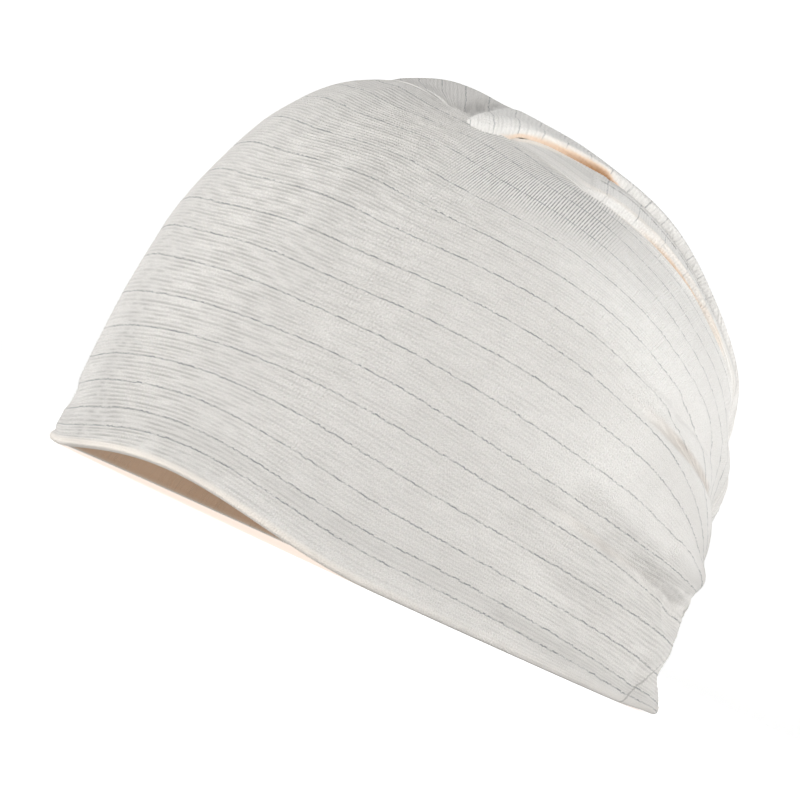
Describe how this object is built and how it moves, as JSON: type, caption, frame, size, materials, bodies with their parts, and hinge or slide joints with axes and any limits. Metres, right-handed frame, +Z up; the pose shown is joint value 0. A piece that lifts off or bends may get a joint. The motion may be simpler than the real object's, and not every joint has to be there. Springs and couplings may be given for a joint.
{
  "type": "beanie",
  "caption": "Soft lined beanie in fine ribbed knit with thin stripes, a turned-in hem, a tucked crown and a gathered nape.",
  "frame": {"origin": "middle of the box around the beanie, on the plane its rim rests on", "axes": "+Z up through the crown, -Y towards the forehead, +X towards the wearer's left ear"},
  "size_m": [0.164, 0.201, 0.1448],
  "materials": {
    "ribbed_knit": "fine ribbed off-white knit with thin grey stripes, matte",
    "plain_jersey": "smooth warm beige jersey, matte"
  },
  "bodies": {
    "root": {"outer_shell": "ribbed_knit", "lining": "plain_jersey"}
  },
  "joints": []
}
